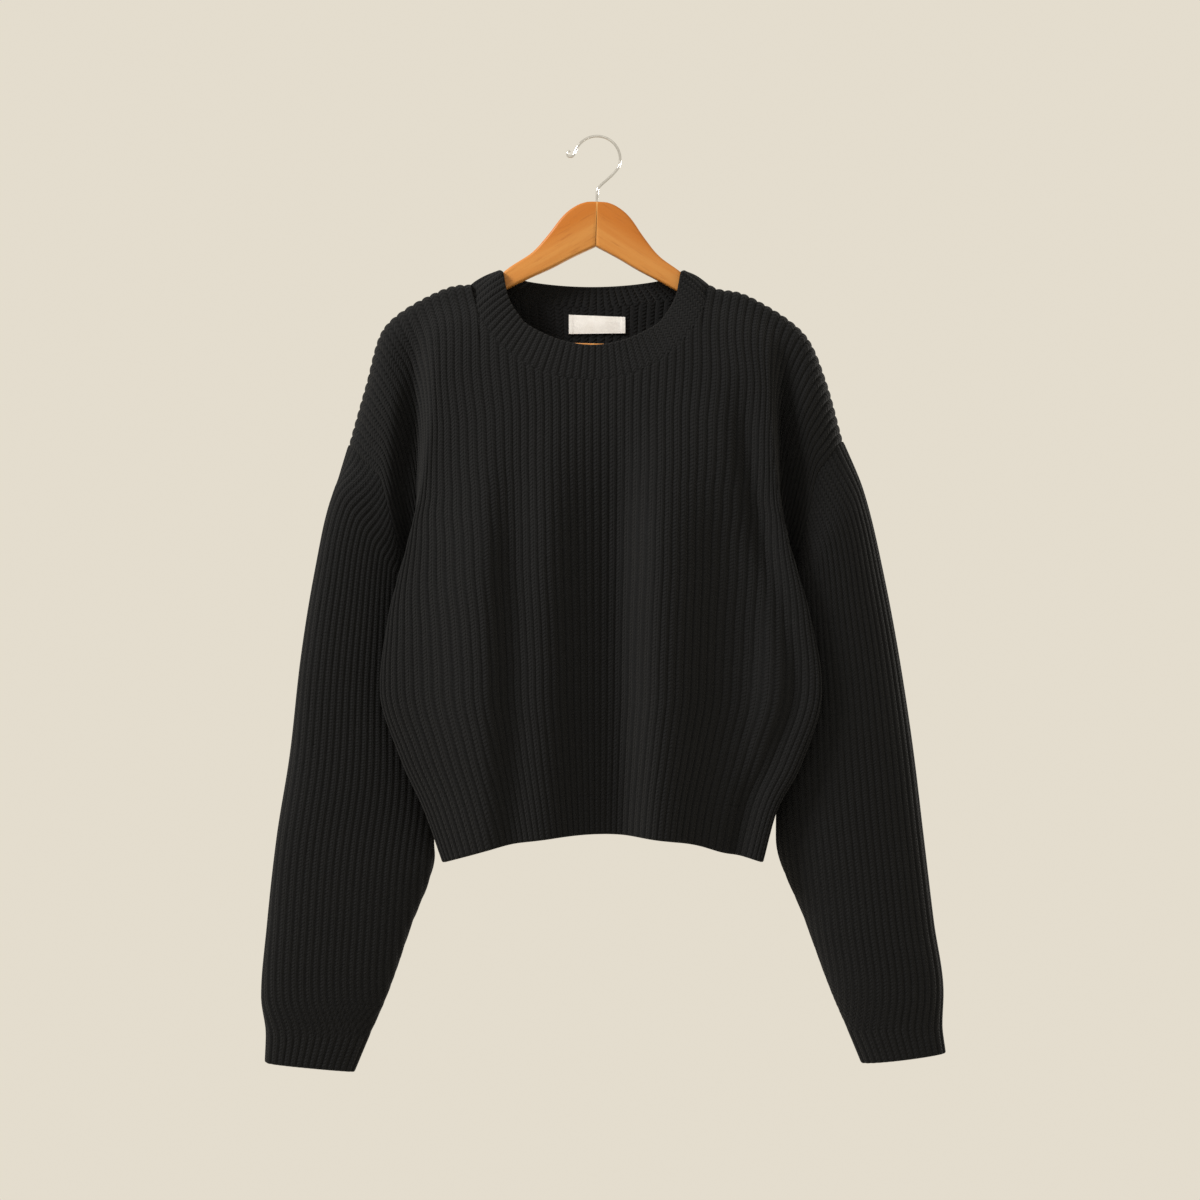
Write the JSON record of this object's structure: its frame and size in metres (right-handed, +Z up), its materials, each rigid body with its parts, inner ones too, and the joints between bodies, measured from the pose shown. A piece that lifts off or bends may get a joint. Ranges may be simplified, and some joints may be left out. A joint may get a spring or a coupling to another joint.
{
  "type": "crew neck sweater on a hanger",
  "caption": "Boxy cropped rib-knit crew neck sweater with dropped shoulders and long sleeves, hanging open and empty on a flat wooden hanger with a wire hook.",
  "frame": {"origin": "the underside of the hanger hook's wire at the top of its arc, where it rests on a peg or rail", "axes": "+Z up, -Y to the wearer's front, +X to the wearer's left"},
  "size_m": [0.601, 0.104, 0.825],
  "materials": {
    "knit": "matte wool-blend rib knit, slightly fuzzy",
    "label": "woven satin label",
    "wood": "clear satin varnish",
    "wire": "bright chrome plate"
  },
  "bodies": {
    "root": {"front_panel": "knit", "back_panel": "knit", "sleeve_right": "knit", "sleeve_left": "knit", "cuff_right": "knit", "cuff_left": "knit", "hem_band": "knit", "collar_band": "knit", "neck_label": "label", "hanger_arm_right": "wood", "hanger_arm_left": "wood", "hanger_bar": "wood", "hanger_hook": "wire"}
  },
  "joints": []
}
